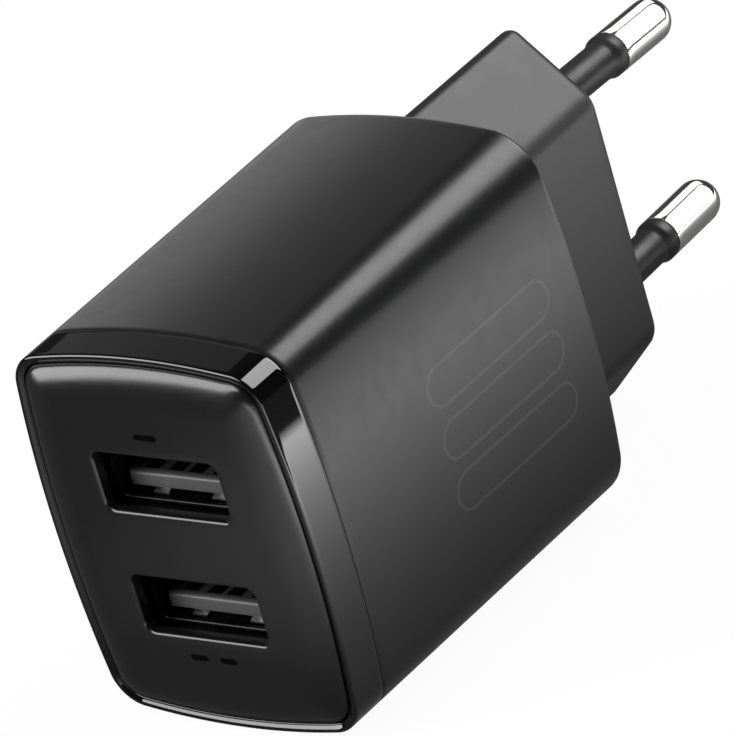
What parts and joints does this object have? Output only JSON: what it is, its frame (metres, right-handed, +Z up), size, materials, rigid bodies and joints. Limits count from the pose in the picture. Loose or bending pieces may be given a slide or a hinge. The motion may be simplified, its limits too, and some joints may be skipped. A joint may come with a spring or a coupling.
{
  "type": "usb wall charger",
  "caption": "Compact black wall charger with stacked USB-A sockets in a crowned front panel, a polished bezel band and a slim two-pin plug block.",
  "frame": {"origin": "middle of the plug block's flat seating face, halfway between the two pins", "axes": "+Y out along the pins, +Z up along the line of the two pins and of the two sockets, +X to the right of someone facing the sockets"},
  "size_m": [0.0284, 0.0753, 0.036],
  "materials": {
    "housing_plastic": "satin black with a fine even grain",
    "bezel_plastic": "polished black",
    "panel_plastic": "soft gloss black",
    "plug_plastic": "matt charcoal black",
    "sleeve_plastic": "matt black nylon",
    "pin_metal": "bright nickel plate on brass",
    "shell_metal": "bright nickel plated steel",
    "tab_metal": "bright nickel plated spring steel",
    "tongue_plastic": "black glass-filled nylon",
    "contact_metal": "gold flash over nickel",
    "spring_alloy": "phosphor bronze",
    "board_laminate": "green solder mask",
    "ferrite": "matt dark grey",
    "winding_tape": "yellow polyester tape",
    "capacitor_sleeve": "dark blue shrink sleeve",
    "capacitor_can": "plain aluminium",
    "resistor_body": "brown lacquer",
    "disc_coating": "blue epoxy coat",
    "chip_plastic": "black moulding compound",
    "insulating_film": "ivory polyester film"
  },
  "bodies": {
    "root": {"main_housing": "housing_plastic", "front_bezel": "bezel_plastic", "front_panel": "panel_plastic", "plug_block": "plug_plastic", "pin_upper": "pin_metal", "pin_lower": "pin_metal", "pin_sleeve_upper": "sleeve_plastic", "pin_sleeve_lower": "sleeve_plastic", "pin_contact_upper": "spring_alloy", "pin_contact_lower": "spring_alloy", "shell_upper": "shell_metal", "shell_lower": "shell_metal", "insulator_upper": "tongue_plastic", "insulator_lower": "tongue_plastic", "socket_board": "board_laminate", "main_board": "board_laminate", "transformer_core_upper": "ferrite", "transformer_core_lower": "ferrite", "transformer_bobbin": "chip_plastic", "transformer_winding": "winding_tape", "bulk_capacitor_1": "capacitor_sleeve", "bulk_capacitor_2": "capacitor_sleeve", "output_capacitor_1": "capacitor_can", "output_capacitor_2": "capacitor_can", "fusible_resistor": "resistor_body", "suppressor_capacitor": "disc_coating", "filter_inductor": "ferrite", "bridge_rectifier": "chip_plastic", "insulating_sheet": "insulating_film", "controller_chip": "chip_plastic", "rectifier_chip": "chip_plastic", "charging_chip": "chip_plastic"},
    "upper_contacts": {"contact_upper_1": "contact_metal", "contact_upper_2": "contact_metal", "contact_upper_3": "contact_metal", "contact_upper_4": "contact_metal"},
    "upper_floor_tabs": {"tab_upper_floor_left": "tab_metal", "tab_upper_floor_right": "tab_metal"},
    "upper_roof_tabs": {"tab_upper_roof_left": "tab_metal", "tab_upper_roof_right": "tab_metal"},
    "lower_contacts": {"contact_lower_1": "contact_metal", "contact_lower_2": "contact_metal", "contact_lower_3": "contact_metal", "contact_lower_4": "contact_metal"},
    "lower_floor_tabs": {"tab_lower_floor_left": "tab_metal", "tab_lower_floor_right": "tab_metal"},
    "lower_roof_tabs": {"tab_lower_roof_left": "tab_metal", "tab_lower_roof_right": "tab_metal"}
  },
  "joints": [
    {"name": "upper_contacts_flex", "type": "hinge", "parent": "root", "child": "upper_contacts", "pos_m": [0, -0.0441, 0.00583], "axis": [1, 0, 0], "range_deg": [0, 3.5], "stiffness_Nm_per_rad": 0.05},
    {"name": "upper_floor_tabs_flex", "type": "hinge", "parent": "root", "child": "upper_floor_tabs", "pos_m": [0, -0.0479, 0.00344], "axis": [1, 0, 0], "range_deg": [0, 4], "stiffness_Nm_per_rad": 0.05},
    {"name": "upper_roof_tabs_flex", "type": "hinge", "parent": "root", "child": "upper_roof_tabs", "pos_m": [0, -0.0479, 0.00886], "axis": [-1, 0, 0], "range_deg": [0, 4], "stiffness_Nm_per_rad": 0.05},
    {"name": "lower_contacts_flex", "type": "hinge", "parent": "root", "child": "lower_contacts", "pos_m": [0, -0.0441, -0.00567], "axis": [1, 0, 0], "range_deg": [0, 3.5], "stiffness_Nm_per_rad": 0.05},
    {"name": "lower_floor_tabs_flex", "type": "hinge", "parent": "root", "child": "lower_floor_tabs", "pos_m": [0, -0.0479, -0.00806], "axis": [1, 0, 0], "range_deg": [0, 4], "stiffness_Nm_per_rad": 0.05},
    {"name": "lower_roof_tabs_flex", "type": "hinge", "parent": "root", "child": "lower_roof_tabs", "pos_m": [0, -0.0479, -0.00264], "axis": [-1, 0, 0], "range_deg": [0, 4], "stiffness_Nm_per_rad": 0.05}
  ]
}
